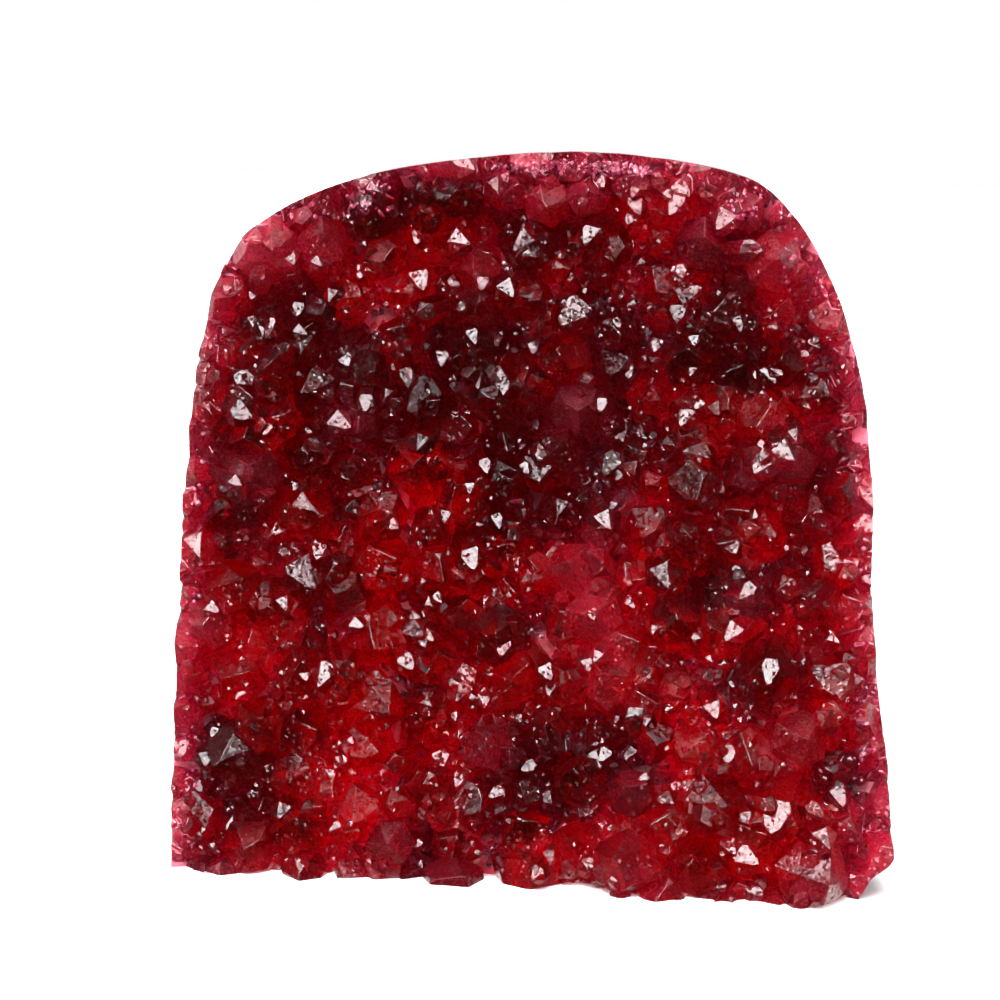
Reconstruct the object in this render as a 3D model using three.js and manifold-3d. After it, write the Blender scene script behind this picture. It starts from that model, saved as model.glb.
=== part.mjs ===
// A quartz geode: one piece of a geode's wall, sawn flat underneath so that it stands up by itself.
// Its front is a druse, a crust of short six-sided quartz crystals grown together, which faces -Y.
// The sides and the arched top are ground to one outline, and the back is the geode's lumpy rind.
// Crystals and stone grew as one piece, so the whole geode is one solid in one node.
// Millimetres, +Z up. The origin is under the middle of the piece, on the surface it stands on.

import * as THREE from 'three';
import { mergeVertices } from 'three/addons/utils/BufferGeometryUtils.js';
import Module from 'manifold-3d';

// ---------------------------------------------------------------- driving dimensions (mm)

const baseHalfWidth = 55;         // half the width of the sawn foot
const archHeight = 111;           // height of the crown of the arch
const outlineSteps = 56;          // straight steps that the ground outline is made of
const wallKnee = 14;              // how far in front, at the foot, the ground wall starts to narrow
const wallTaper = 0.2;            // how much it narrows for each mm further back
const crustDepth = 17;            // how far the crust of small crystals stands in front, at the foot
const leanBack = 0.15;            // how far the crust leans back for each mm of height
const hollowDepth = 5;            // depth of the shallow hollow in the middle of the druse
const swellDepth = 8;             // how far the lower right of the druse swells forward
const rimThickness = 16;          // thickness of the stone and the crust at the ground edge
const rindDome = 21;              // how much thicker the stone is in the middle of its foot
const rindLump = 1.2;             // height of the lumps on the rind
const stoneCells = 13;            // grid cells along each side of the stone's front and back

const crystalCount = 198;         // large crystals that fill the druse between the leading ones
const placeTries = 14;            // places that each of them chooses from
const smallestCrystal = 3.0;      // half-width across the flats of the smallest of them
const largestCrystal = 4.6;       // and of the largest
const rootDepth = 8;              // how deep each crystal's root sits below the crust
const lowestShoulder = -2.5;      // height of the lowest prism shoulders above the crust
const highestShoulder = 1.2;      // and of the highest
const greatestLean = 0.55;        // how far a crystal may lean from the crust's normal, as a slope
const tipSlope = THREE.MathUtils.degToRad(51.8);  // from the crystal's axis to a tip face's normal

// The leading crystals, which give this piece its character: place on the druse (x, z), half-width
// across the flats, height of the shoulders, and lean to the right and upward as slopes.
const leadingCrystals = [
  [-43.3, 94.7, 4.7, 1.2, -0.30, 0.10],
  [-34.2, 95.4, 4.2, 1.0, 0.05, 0.35],
  [-5.7, 104.6, 2.9, 1.6, -0.15, -0.10],
  [0.0, 103.2, 3.3, 1.8, 0.05, -0.18],
  [6.1, 104.1, 3.3, 1.4, 0.12, 0.15],
  [30.5, 101.9, 3.0, 1.4, 0.22, 0.05],
  [24.2, 97.2, 3.9, 1.6, 0.05, 0.12],
  [34.7, 94.5, 4.7, 1.6, 0.18, 0.00],
  [-10.5, 93.4, 3.4, 1.2, 0.00, 0.45],
  [5.5, 71.1, 4.4, 1.4, 0.10, -0.05],
  [-28.5, 68.4, 3.8, 1.0, -0.20, 0.40],
  [-43.8, 60.6, 4.0, 1.4, -0.10, 0.10],
  [38.5, 64.3, 3.8, 1.6, 0.20, 0.35],
  [32.0, 62.6, 3.4, 1.6, -0.10, 0.35],
  [9.9, 51.4, 2.6, 2.0, 0.05, 0.10],
  [6.4, 46.5, 3.9, 2.2, -0.10, 0.05],
  [9.6, 40.2, 4.1, 2.4, 0.02, -0.10],
  [11.4, 30.2, 3.8, 1.8, 0.08, 0.12],
  [32.4, 43.1, 3.5, 1.0, 0.10, 0.05],
  [-49.5, 37.2, 3.5, 1.0, -0.20, 0.00],
  [-6.8, 19.6, 4.0, 1.4, 0.05, 0.25],
  [40.1, 23.4, 4.0, 1.6, 0.10, -0.10],
  [15.3, 14.7, 3.5, 1.2, 0.00, 0.10],
  [-20.9, 5.5, 3.6, 1.6, -0.05, -0.05],
  [15.3, 3.9, 4.6, 2.6, 0.00, 0.20],
  [42.4, 4.5, 5.4, 2.0, 0.10, -0.15],
];

// ---------------------------------------------------------------- tools

const manifoldLibrary = await Module();
manifoldLibrary.setup();
const { Manifold, Mesh: SolidMesh } = manifoldLibrary;

// What each kind of chance number is for, so that no two kinds are alike.
const draw = {
  placeX: 1, placeZ: 2, size: 3, shoulder: 4, lean: 5, heading: 6, spin: 7, reach: 10, setBack: 20,
};

// A repeatable chance number from low to high: the same crystal always gets the same one.
function chance(crystal, kind, low, high) {
  const wave = Math.sin(crystal * 12.9898 + kind * 78.233) * 43758.5453;
  return low + (high - low) * (wave - Math.floor(wave));
}

// A closed three.js geometry as a solid that can be joined and cut.
function toSolid(geometry) {
  const bare = geometry.clone();
  bare.deleteAttribute('normal');
  bare.deleteAttribute('uv');
  const merged = mergeVertices(bare, 1e-4);
  return new Manifold(new SolidMesh({
    numProp: 3,
    vertProperties: new Float32Array(merged.attributes.position.array),
    triVerts: new Uint32Array(merged.index.array),
  }));
}

// The outermost shell of a solid, which fills the small hollows closed in between crystals.
function outerShell(solid) {
  return solid.decompose().reduce((kept, shell) => (shell.volume() > kept.volume() ? shell : kept));
}

// A solid as a three.js geometry again.
function toGeometry(solid) {
  const mesh = solid.getMesh();
  const geometry = new THREE.BufferGeometry();
  geometry.setAttribute('position', new THREE.BufferAttribute(mesh.vertProperties, 3));
  geometry.setIndex(new THREE.BufferAttribute(mesh.triVerts, 1));
  geometry.computeVertexNormals();
  return geometry;
}

// ---------------------------------------------------------------- stone

// The ground outline as seen from the front, (x, z): an arch on sides that lean in a little, with
// the lower right corner knocked off.
function groundOutline() {
  const wall = new THREE.SplineCurve([
    new THREE.Vector2(50.0, 0),
    new THREE.Vector2(51.8, 3.2),
    new THREE.Vector2(54.6, 5.8),
    new THREE.Vector2(54.9, 9),
    new THREE.Vector2(53.4, 24),
    new THREE.Vector2(51.4, 42),
    new THREE.Vector2(51.0, 62),
    new THREE.Vector2(48.9, 78),
    new THREE.Vector2(44.2, 92),
    new THREE.Vector2(38.0, 102),
    new THREE.Vector2(29.0, 108.2),
    new THREE.Vector2(6, archHeight),
    new THREE.Vector2(-20, 108.4),
    new THREE.Vector2(-36, 103.7),
    new THREE.Vector2(-45.6, 97.6),
    new THREE.Vector2(-50.2, 90.3),
    new THREE.Vector2(-52.9, 78.5),
    new THREE.Vector2(-54.3, 58),
    new THREE.Vector2(-54.9, 30),
    new THREE.Vector2(-baseHalfWidth, 0),
  ]);
  return new THREE.Shape(wall.getSpacedPoints(outlineSteps));
}

// The solid inside the ground wall, which trims stone and crystals alike. It is as wide as the
// outline in front of the knee and narrows behind it, while its foot stays level. The knee leans
// back as the crust does.
function groundBlock() {
  const reach = 60;
  const plan = { depth: 2 * reach, steps: 2, bevelEnabled: false };
  const block = new THREE.ExtrudeGeometry(groundOutline(), plan);
  block.rotateX(Math.PI / 2);
  block.translate(0, reach - wallKnee, 0);
  const position = block.attributes.position;
  const backShare = 1 - wallTaper * reach / baseHalfWidth;
  for (let i = 0; i < position.count; i += 1) {
    const share = position.getY(i) > 0 ? backShare : 1;
    const z = position.getZ(i) * share;
    position.setXYZ(i, position.getX(i) * share, position.getY(i) + leanBack * z, z);
  }
  return toSolid(block);
}

// A smooth rise of height 1 at (middleX, middleZ) that fades out over the distances fadeX and fadeZ.
function mound(x, z, middleX, middleZ, fadeX, fadeZ) {
  return Math.exp(-(((x - middleX) / fadeX) ** 2) - (((z - middleZ) / fadeZ) ** 2));
}

// y of the crust: the tips of the many small crystals that fill the druse between the large ones.
function crustY(x, z) {
  const hollow = hollowDepth * mound(x, z, -4, 66, 34, 36);
  const swell = swellDepth * mound(x, z, 33, 4, 24, 34);
  return -crustDepth + leanBack * z + hollow - swell;
}

// y of the rind, the outside of the geode at the back.
function rindY(x, z) {
  const dome = rindDome * (1 - (x / 60) ** 2) * (1 - (z / 128) ** 2);
  const lumps = Math.sin(x * 0.21 + Math.sin(z * 0.11)) * Math.sin(z * 0.19 + Math.sin(x * 0.13));
  return -crustDepth + leanBack * z + rimThickness + dome + rindLump * lumps;
}

// The stone is a block whose front and back grids are moved onto the crust and the rind.
function makeStone() {
  const margin = 8;
  const width = 2 * (baseHalfWidth + margin);
  const height = archHeight + 2 * margin;
  const block = new THREE.BoxGeometry(width, 1, height, stoneCells, 1, stoneCells);
  block.translate(0, 0, archHeight / 2);
  const position = block.attributes.position;
  for (let i = 0; i < position.count; i += 1) {
    const surface = position.getY(i) < 0 ? crustY : rindY;
    position.setY(i, surface(position.getX(i), position.getZ(i)));
  }
  return toSolid(block);
}

// ---------------------------------------------------------------- crystals

// Direction that points straight out of the crust at (x, z).
function crustNormal(x, z) {
  const step = 0.5;
  const slopeX = (crustY(x + step, z) - crustY(x - step, z)) / (2 * step);
  const slopeZ = (crustY(x, z + step) - crustY(x, z - step)) / (2 * step);
  return new THREE.Vector3(slopeX, -1, slopeZ).normalize();
}

// One quartz crystal with its root at the origin and its axis along +Z: a blank cut by six prism
// faces and six tip faces. Every other tip face is set back, by an amount of its own, so that
// three large faces meet in the point and three small ones lie between them, as on real quartz.
function makeCrystal(crystal, halfWidth, shoulder) {
  const apex = rootDepth + shoulder + halfWidth * Math.tan(tipSlope);
  const blank = new THREE.BoxGeometry(4 * halfWidth, 4 * halfWidth, apex);
  blank.translate(0, 0, apex / 2);
  let solid = toSolid(blank);
  for (let side = 0; side < 6; side += 1) {
    const outX = Math.cos(side * Math.PI / 3);
    const outY = Math.sin(side * Math.PI / 3);
    const reach = halfWidth * chance(crystal, draw.reach + side, 0.86, 1.1);
    const mostSetBack = side % 2 === 0 ? 0.1 : 0.6;
    const setBack = halfWidth * chance(crystal, draw.setBack + side, -0.1, mostSetBack);
    const tipNormal = [-outX * Math.sin(tipSlope), -outY * Math.sin(tipSlope), -Math.cos(tipSlope)];
    solid = solid.trimByPlane([-outX, -outY, 0], -reach);
    solid = solid.trimByPlane(tipNormal, -(apex + setBack) * Math.cos(tipSlope));
  }
  return solid;
}

// Stands a crystal in the crust at (x, z), leaning by the given slopes, with its root inside.
function plantCrystal(crystal, [x, z, halfWidth, shoulder, leanRight, leanUp]) {
  const axis = crustNormal(x, z);
  axis.x += leanRight;
  axis.z += leanUp;
  axis.normalize();
  const up = new THREE.Vector3(0, 0, 1);
  const spin = new THREE.Quaternion().setFromAxisAngle(up, chance(crystal, draw.spin, 0, Math.PI * 2));
  const turn = new THREE.Quaternion().setFromUnitVectors(up, axis).multiply(spin);
  const root = new THREE.Vector3(x, crustY(x, z), z).addScaledVector(axis, -rootDepth);
  const place = new THREE.Matrix4().compose(root, turn, new THREE.Vector3(1, 1, 1));
  return makeCrystal(crystal, halfWidth, shoulder).transform(place.toArray());
}

// All crystals of the druse. Each new one takes the best of several places, the one farthest from
// the rims of the crystals that stand already, which fills the druse evenly but not regularly.
function druseCrystals() {
  const crystals = [...leadingCrystals];
  while (crystals.length < leadingCrystals.length + crystalCount) {
    const crystal = crystals.length;
    let widestGap = -Infinity;
    let place = null;
    for (let attempt = 0; attempt < placeTries; attempt += 1) {
      const x = chance(crystal * placeTries + attempt, draw.placeX, -baseHalfWidth - 1, baseHalfWidth + 1);
      const z = chance(crystal * placeTries + attempt, draw.placeZ, -2, archHeight);
      const gaps = crystals.map(([otherX, otherZ, width]) => Math.hypot(otherX - x, otherZ - z) - width);
      const gap = Math.min(...gaps);
      if (gap > widestGap) {
        widestGap = gap;
        place = [x, z];
      }
    }
    const size = chance(crystal, draw.size, 0, 1) ** 1.3;
    const lean = greatestLean * Math.sqrt(chance(crystal, draw.lean, 0, 1));
    const heading = chance(crystal, draw.heading, 0, 2 * Math.PI);
    crystals.push([
      ...place,
      smallestCrystal + (largestCrystal - smallestCrystal) * size,
      chance(crystal, draw.shoulder, lowestShoulder, highestShoulder),
      lean * Math.cos(heading),
      lean * Math.sin(heading),
    ]);
  }
  return crystals;
}

// ---------------------------------------------------------------- geode

const druse = Manifold.union(druseCrystals().map((crystal, i) => plantCrystal(i, crystal)));
const geodeGeometry = toGeometry(outerShell(makeStone().add(druse).intersect(groundBlock())));

// The middle of the piece, seen from above, comes over the origin.
geodeGeometry.computeBoundingBox();
const middle = geodeGeometry.boundingBox.getCenter(new THREE.Vector3());
geodeGeometry.translate(-middle.x, -middle.y, 0);

const dyedQuartz = new THREE.MeshStandardMaterial({ color: 0x8c1226, roughness: 0.25, metalness: 0 });
const geode = new THREE.Mesh(geodeGeometry, dyedQuartz);
geode.name = 'geode';

const group = new THREE.Group();
group.add(geode);

export default group;
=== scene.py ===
# %% [markdown]
# # A red quartz geode
#
# A geode is a hollow stone whose inside is lined with crystals. This one is a piece of such a lining:
# it is sawn flat underneath so that it stands up, its sides and arched top are ground to one smooth
# outline, and its front is a druse, a crust of six-sided quartz crystals that have grown into each
# other and were dyed a deep ruby red.
#
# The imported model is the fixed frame. It says how large the geode is and where it stands, and the
# pieces made here take the place of its one solid.

# %% The frame
from itertools import combinations

import bmesh
import bpy
import numpy as np
from mathutils import Matrix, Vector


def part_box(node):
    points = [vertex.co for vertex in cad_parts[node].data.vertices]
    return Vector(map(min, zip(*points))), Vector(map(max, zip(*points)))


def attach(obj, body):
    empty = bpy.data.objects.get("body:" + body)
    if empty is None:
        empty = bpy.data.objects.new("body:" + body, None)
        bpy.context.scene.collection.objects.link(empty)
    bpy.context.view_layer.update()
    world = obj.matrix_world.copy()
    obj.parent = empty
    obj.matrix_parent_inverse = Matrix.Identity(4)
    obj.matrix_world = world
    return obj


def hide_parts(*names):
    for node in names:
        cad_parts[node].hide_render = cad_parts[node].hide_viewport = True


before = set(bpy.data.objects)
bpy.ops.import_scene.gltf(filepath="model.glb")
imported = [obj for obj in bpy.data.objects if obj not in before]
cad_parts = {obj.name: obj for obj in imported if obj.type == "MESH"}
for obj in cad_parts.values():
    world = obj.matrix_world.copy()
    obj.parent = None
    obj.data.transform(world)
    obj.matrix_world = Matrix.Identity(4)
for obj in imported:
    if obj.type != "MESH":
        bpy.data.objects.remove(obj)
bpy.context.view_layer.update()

MM = 0.001
low, high = [np.array(corner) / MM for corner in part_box("geode")]
size = high - low
print("geode, mm:", size.round(1))

# %% [markdown]
# ## Where the eye and the window are
#
# A crystal facet flashes only when it mirrors something bright into the eye. The viewer's place and
# the direction of a bright window are therefore settled first: the crystals that are meant to flash
# are turned by them, and the camera and the light are made from the same numbers at the end.

# %% Eye, mm, and window
AZIMUTH, ELEVATION, ROLL = np.radians([2.0, 6.0, 1.3])
AIM = np.array([-5.69, -8.0, 57.81])
DISTANCE = 480
LENS = 113.3


def toward(azimuth, elevation):
    """unit vector to a place at an azimuth from the front, counted to the right, and an elevation"""
    side, ahead = np.sin(azimuth) * np.cos(elevation), -np.cos(azimuth) * np.cos(elevation)
    return np.array([side, ahead, np.sin(elevation)])


EYE = AIM + DISTANCE * toward(AZIMUTH, ELEVATION)
TO_WINDOW = toward(*np.radians([-14.0, 50.0]))
print("eye:", EYE.round(), "direction of the window:", TO_WINDOW.round(2))

# %% [markdown]
# ## Chance that always falls the same way
#
# A druse looks natural because no two crystals are alike, yet the script has to give the same druse
# each time, and its large crystals have to stand where the solid model has them. So chance comes
# from a formula: the sine of a number that belongs to one crystal and one question, such as how
# wide it is, is stretched until only the digits far behind the point are left. They look random.

# %% Chance numbers
# Reach and set-back are asked of each of the six sides, and scatter of three directions, so the
# numbers after theirs are taken too.
QUESTIONS = dict(
    place_x=1, place_z=2, size=3, shoulder=4, lean=5, heading=6, spin=7, reach=10, set_back=20,
    facet=30, stand=31, seam=32, shift=33, milk_x=34, milk_z=35, scatter=51,
)


def chance(number, question, lowest, highest):
    """fraction of sin(12.9898 number + 78.233 question) * 43758.5453, from lowest to highest"""
    question = QUESTIONS[question] if isinstance(question, str) else question
    wave = np.sin(number * 12.9898 + question * 78.233) * 43758.5453
    return lowest + (highest - lowest) * (wave - np.floor(wave))


def lattice_noise(points, spacing, seed):
    """smoothly blended chance numbers from -1 to 1 at the corners of cubes of the given spacing"""
    cell = points / spacing
    base = np.floor(cell)
    part = cell - base
    part = part * part * (3 - 2 * part)
    total = 0
    for corner in np.ndindex(2, 2, 2):
        at = base + np.array(corner)
        number = at[..., 0] * 1.31 + at[..., 1] * 17.17 + at[..., 2] * 57.57
        weight = np.prod(np.where(corner, part, 1 - part), axis=-1)
        total = total + weight * chance(number, seed, -1, 1)
    return total


# %% [markdown]
# ## The surfaces that the geode is built on
#
# Between the large crystals the druse is filled with small ones, whose tips together make a gently
# curved surface, the crust. It leans back a little, is hollow in the middle, as the inside of a
# geode is, and swells forward at the lower right. Everything is measured from it. The crystals
# stand in it, the bed of milky quartz that they grew from lies some millimetres behind it, and the
# rind, the rough outside of the geode, closes the back with a dome.

# %% Crust, bed and rind
HALF_WIDTH = 55.0
ARCH_HEIGHT = 111.0
CRUST_DEPTH = 17.0
LEAN_BACK = 0.15
BED_DEPTH = 5.0


def mound(x, z, middle_x, middle_z, fade_x, fade_z):
    """exp(-((x - middle) / fade)^2), in x and in z: a smooth rise of height 1"""
    return np.exp(-(((x - middle_x) / fade_x) ** 2) - (((z - middle_z) / fade_z) ** 2))


def crust_y(x, z):
    """y of the crust: a plane that leans back, plus a hollow, less a swelling at the lower right"""
    hollow = 5 * mound(x, z, -4, 66, 34, 36)
    swell = 8 * mound(x, z, 33, 4, 24, 34)
    return -CRUST_DEPTH + LEAN_BACK * z + hollow - swell


def bed_y(x, z):
    """y of the bed: the crust moved back, with knobs of two sizes"""
    points = np.stack([x, np.zeros_like(x), z], -1)
    y = crust_y(x, z) + BED_DEPTH
    for spacing, height, seed in ((4.0, 0.5, 41), (1.6, 0.25, 42)):
        y = y + height * lattice_noise(points, spacing, seed)
    return y


def rind_y(x, z):
    """y of the rind: a dome over the back with lumps of four sizes on it"""
    dome = 21 * (1 - (x / 60) ** 2) * (1 - (z / 128) ** 2)
    lumps = 1.2 * np.sin(x * 0.21 + np.sin(z * 0.11)) * np.sin(z * 0.19 + np.sin(x * 0.13))
    points = np.stack([x, np.zeros_like(x), z], -1)
    for spacing, height in ((9.0, 1.2), (3.6, 0.6), (1.7, 0.25)):
        lumps = lumps - height * np.abs(lattice_noise(points, spacing, 43 + spacing))
    return -CRUST_DEPTH + LEAN_BACK * z + 16 + dome + lumps


def unit(vectors):
    """each vector divided by its own length"""
    return vectors / np.linalg.norm(vectors, axis=-1, keepdims=True)


# Patches where quartz and bed are lighter or darker: partly uneven dye, partly painted shade and glow.
DYE_SHADE_AND_GLOW = [
    # middle x and z, fade in x and in z, how much lighter (or darker): dye, painted shade, painted glow
    (-5, 77, 20, 10, -0.25), (-34, 80, 14, 12, -0.15), (0, 54, 8, 8, -0.2), (30, 43, 9, 7, -0.2),
    (-43, 14, 9, 10, -0.2), (3, 16, 8, 9, -0.2), (30, 80, 16, 10, -0.15), (-18, 40, 14, 13, 0.1),
    (36, 22, 10, 12, 0.2), (42, 5, 8, 7, 0.4), (9, 42, 5, 13, 0.2), (38, 93, 6, 6, 0.35),
    (-43, 95, 6, 6, 0.3), (22, 103, 12, 5, 0.3), (-25, 12, 12, 10, 0.2),
]


def spread_over(x, z, patches):
    """sum of height * mound over patches of middle x and z, fade in x and z, and height"""
    return sum(height * mound(x, z, *patch) for *patch, height in patches)


def crust_normal(x, z):
    """the crust's gradient, turned to point out of it: (dy/dx, -1, dy/dz), made one long"""
    step = 0.5
    slope_x = (crust_y(x + step, z) - crust_y(x - step, z)) / (2 * step)
    slope_z = (crust_y(x, z + step) - crust_y(x, z - step)) / (2 * step)
    return unit(np.stack([slope_x, -np.ones_like(slope_x), slope_z], -1))


# %% [markdown]
# ## The ground wall
#
# The sides and the top are ground along one outline, an arch on sides that lean in a little, with
# the lower right corner knocked off. The wall is as wide as the outline around the crystals and
# narrows behind them, because the grinding wheel follows the rounding of the geode. The line where
# it starts to narrow, the knee, leans back as the crust does.

# %% Outline and wall
OUTLINE = [
    (50, 0), (51.8, 3.2), (54.6, 5.8), (54.9, 9), (53.4, 24), (51.4, 42), (51, 62), (48.9, 78),
    (44.2, 92), (38, 102), (29, 108.2), (6, 111), (-20, 108.4), (-36, 103.7), (-45.6, 97.6),
    (-50.2, 90.3), (-52.9, 78.5), (-54.3, 58), (-54.9, 30), (-55, 0),
]
STEPS_BETWEEN = 10
WALL_KNEE = 14.0
WALL_TAPER = 0.2


def spline_through(points, steps):
    """Catmull-Rom curve: cubic stretches, whose slope at a point is half the way past it"""
    points = np.array([points[0], *points, points[-1]], float)
    t = np.linspace(0, 1, steps, endpoint=False)[:, None]
    before, start, end, after = (points[i:len(points) - 3 + i, None] for i in range(4))
    pull_start = (end - before) / 2
    pull_end = (after - start) / 2
    curve = (2 * start - 2 * end + pull_start + pull_end) * t**3
    curve = curve + (3 * end - 3 * start - 2 * pull_start - pull_end) * t**2 + pull_start * t + start
    return np.concatenate([curve.reshape(-1, 2), points[-1:]])


def on_wall(line, back):
    """points of the wall at a distance behind the knee, where the outline shrinks by the taper"""
    share = 1 - WALL_TAPER * np.maximum(back, 0) / HALF_WIDTH
    z = line[:, 1] * share
    return np.stack([line[:, 0] * share, -WALL_KNEE + back + LEAN_BACK * z, z], -1)


def wall_ring(line, surface):
    """where the wall meets a surface y = f(x, z): the distance is corrected until it fits"""
    back = np.full(len(line), 5.0)
    for _ in range(8):
        point = on_wall(line, back)
        back = back + surface(point[:, 0], point[:, 2]) - point[:, 1]
    return on_wall(line, back)


outline = spline_through(OUTLINE, STEPS_BETWEEN)
print("outline points:", len(outline))


def rim_distance(x, z):
    """distance from each (x, z) to the nearest point of the outline's stretches"""
    start, ahead = outline[:-1], np.diff(outline, axis=0)
    to_x, to_z = x[:, None] - start[:, 0], z[:, None] - start[:, 1]
    along = np.clip((to_x * ahead[:, 0] + to_z * ahead[:, 1]) / (ahead**2).sum(axis=1), 0, 1)
    return np.hypot(to_x - along * ahead[:, 0], to_z - along * ahead[:, 1]).min(axis=1)


# %% [markdown]
# ## Where the large crystals stand
#
# Two dozen crystals are listed one by one, because they are the ones that the eye finds first. The
# others are dropped in one after another: each tries fourteen places and takes the one farthest from
# the rims of all that stand already. The solid model has the same crystals in the same places.

# %% Large crystals
LEADING = [
    # x, z, half-width across the flats, shoulder above the crust, lean right, lean up
    (-43.3, 94.7, 4.7, 1.2, -0.30, 0.10),
    (-34.2, 95.4, 4.2, 1.0, 0.05, 0.35),
    (-5.7, 104.6, 2.9, 1.6, -0.15, -0.10),
    (0.0, 103.2, 3.3, 1.8, 0.05, -0.18),
    (6.1, 104.1, 3.3, 1.4, 0.12, 0.15),
    (30.5, 101.9, 3.0, 1.4, 0.22, 0.05),
    (24.2, 97.2, 3.9, 1.6, 0.05, 0.12),
    (34.7, 94.5, 4.7, 1.6, 0.18, 0.00),
    (-10.5, 93.4, 3.4, 1.2, 0.00, 0.45),
    (5.5, 71.1, 4.4, 1.4, 0.10, -0.05),
    (-28.5, 68.4, 3.8, 1.0, -0.20, 0.40),
    (-43.8, 60.6, 4.0, 1.4, -0.10, 0.10),
    (38.5, 64.3, 3.8, 1.6, 0.20, 0.35),
    (32.0, 62.6, 3.4, 1.6, -0.10, 0.35),
    (9.9, 51.4, 2.6, 2.0, 0.05, 0.10),
    (6.4, 46.5, 3.9, 2.2, -0.10, 0.05),
    (9.6, 40.2, 4.1, 2.4, 0.02, -0.10),
    (11.4, 30.2, 3.8, 1.8, 0.08, 0.12),
    (32.4, 43.1, 3.5, 1.0, 0.10, 0.05),
    (-49.5, 37.2, 3.5, 1.0, -0.20, 0.00),
    (-6.8, 19.6, 4.0, 1.4, 0.05, 0.25),
    (40.1, 23.4, 4.0, 1.6, 0.10, -0.10),
    (15.3, 14.7, 3.5, 1.2, 0.00, 0.10),
    (-20.9, 5.5, 3.6, 1.6, -0.05, -0.05),
    (15.3, 3.9, 4.6, 2.6, 0.00, 0.20),
    (42.4, 4.5, 5.4, 2.0, 0.10, -0.15),
]
LARGE_COUNT = 198
TRIES = 14
TIP_SLOPE = np.radians(51.8)


def large_crystals():
    """rows of x, z, half-width, shoulder, lean right and lean up, one for each large crystal"""
    placed = list(LEADING)
    for number in range(len(LEADING), len(LEADING) + LARGE_COUNT):
        attempt = number * TRIES + np.arange(TRIES)
        x = chance(attempt, "place_x", -HALF_WIDTH - 1, HALF_WIDTH + 1)
        z = chance(attempt, "place_z", -2, ARCH_HEIGHT)
        others = np.array(placed)
        gap = (np.hypot(x[:, None] - others[:, 0], z[:, None] - others[:, 1]) - others[:, 2]).min(axis=1)
        best = int(np.argmax(gap))
        half_width = 3.0 + 1.6 * chance(number, "size", 0, 1) ** 1.3
        shoulder = chance(number, "shoulder", -2.5, 1.2)
        lean = 0.55 * np.sqrt(chance(number, "lean", 0, 1))
        heading = chance(number, "heading", 0, 2 * np.pi)
        row = (x[best], z[best], half_width, shoulder, lean * np.cos(heading), lean * np.sin(heading))
        placed.append(row)
    return np.array(placed)


large = large_crystals()
print("large crystals:", len(large), "widest, mm:", round(2 * large[:, 2].max(), 1))

# %% [markdown]
# ## One crystal
#
# A quartz crystal is a six-sided prism with a six-sided point, and the faces of the point always
# meet the axis at the same angle. Three of them are large and meet in the tip, and the three between
# are smaller. So a crystal is best described as the space behind thirteen planes: six around the
# prism, six on the point and one across the root. Its corners are where three planes meet and no
# fourth one cuts them off.

# %% Planes of a crystal
ROOT_DEPTH = 8.0
SIDES = np.arange(6)


def turn_to(axis):
    """the shortest turn that brings +Z onto each axis, as matrices"""
    turn = -axis[:, :, None] * axis[:, None, :] / (1 + axis[:, 2])[:, None, None]
    turn[:, 0, 0] += 1
    turn[:, 1, 1] += 1
    turn[:, :, 2] = axis
    turn[:, 2, :2] = -axis[:, :2]
    return turn


def crystal_planes(number, root, axis, half_width, length, spin, shift=0.0):
    """normals (crystal, plane, 3) and offsets (crystal, plane); a shift moves the first face of the
    point in, and its neighbours then come forward, which narrows it to a kite"""
    number = np.asarray(number)[:, None]
    heading = SIDES * np.pi / 3 + spin[:, None]
    out = np.stack([np.cos(heading), np.sin(heading), np.zeros_like(heading)], -1)
    tip = out * np.sin(TIP_SLOPE) + np.array([0, 0, np.cos(TIP_SLOPE)])
    reach = half_width[:, None] * chance(number, QUESTIONS["reach"] + SIDES, 0.86, 1.1)
    furthest = np.where(SIDES % 2 == 0, 0.1, 0.6)
    set_back = half_width[:, None] * chance(number, QUESTIONS["set_back"] + SIDES, -0.1, furthest)
    set_back[:, 0] -= shift * half_width
    set_back[:, [1, 5]] *= 0.3 if shift else 1.0
    normals = np.concatenate([out, tip, np.tile([0.0, 0.0, -1.0], (len(number), 1, 1))], axis=1)
    normals = np.einsum("nij,nkj->nki", turn_to(axis), normals)
    offsets = [reach, (length[:, None] + set_back) * np.cos(TIP_SLOPE), np.zeros((len(number), 1))]
    return normals, np.concatenate(offsets, axis=1) + np.einsum("nkj,nj->nk", normals, root)


def planted(rows):
    """root, axis and length of the large crystals, which lean from the crust's normal"""
    x, z, half_width, shoulder, lean_right, lean_up = rows.T
    axis = crust_normal(x, z)
    axis[:, 0] += lean_right
    axis[:, 2] += lean_up
    axis = unit(axis)
    root = np.stack([x, crust_y(x, z), z], -1) - ROOT_DEPTH * axis
    return root, axis, ROOT_DEPTH + shoulder + half_width * np.tan(TIP_SLOPE)


count = len(large)
root, axis, length = planted(large)
spin = chance(np.arange(count), "spin", 0, 2 * np.pi)
normals, offsets = crystal_planes(np.arange(count), root, axis, large[:, 2], length, spin)
druse = dict(normals=normals, offsets=offsets, root=root, axis=axis, length=length)
druse["half_width"] = large[:, 2]
print("planes:", normals.shape)

# %% [markdown]
# ## Filling the druse
#
# A late crystal grows where there is room, at the bottom of the valleys between the older ones, and
# its point comes out of them only as far as it has had time to grow. To find the valleys, the druse
# is cast onto a board: a grid that holds how far forward the foremost crystal stands in each cell.
# Each new crystal tries a few places, takes the deepest valley, puts its point up there and is then
# cast onto the board too.

# %% The board
CELL = 0.25
board_x = np.arange(-HALF_WIDTH - 4, HALF_WIDTH + 4, CELL)
board_z = np.arange(-8, ARCH_HEIGHT + 6, CELL)
board = bed_y(*np.meshgrid(board_x, board_z))


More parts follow.
